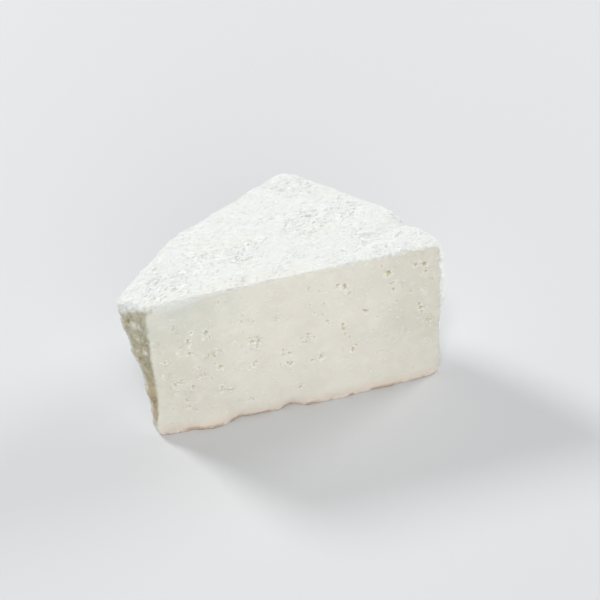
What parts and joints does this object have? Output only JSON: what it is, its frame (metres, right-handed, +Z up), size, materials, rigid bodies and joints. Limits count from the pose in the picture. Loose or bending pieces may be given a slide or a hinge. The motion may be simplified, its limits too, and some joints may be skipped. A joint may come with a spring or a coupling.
{
  "type": "feta cheese wedge",
  "caption": "Thick wedge of white feta cheese standing on its base, with a flat knife-cut face pocked with curd pits and a soft, rough moulded skin on the top, back and narrow end.",
  "frame": {"origin": "middle of the bounding box, on the flat base that the wedge stands on", "axes": "+X along the knife-cut face from its narrow left end to its right edge, +Y from the cut face back into the cheese, +Z up"},
  "size_m": [0.1962, 0.1148, 0.0958],
  "materials": {
    "feta_curd": null
  },
  "bodies": {
    "root": {"feta_wedge": "feta_curd"}
  },
  "joints": []
}
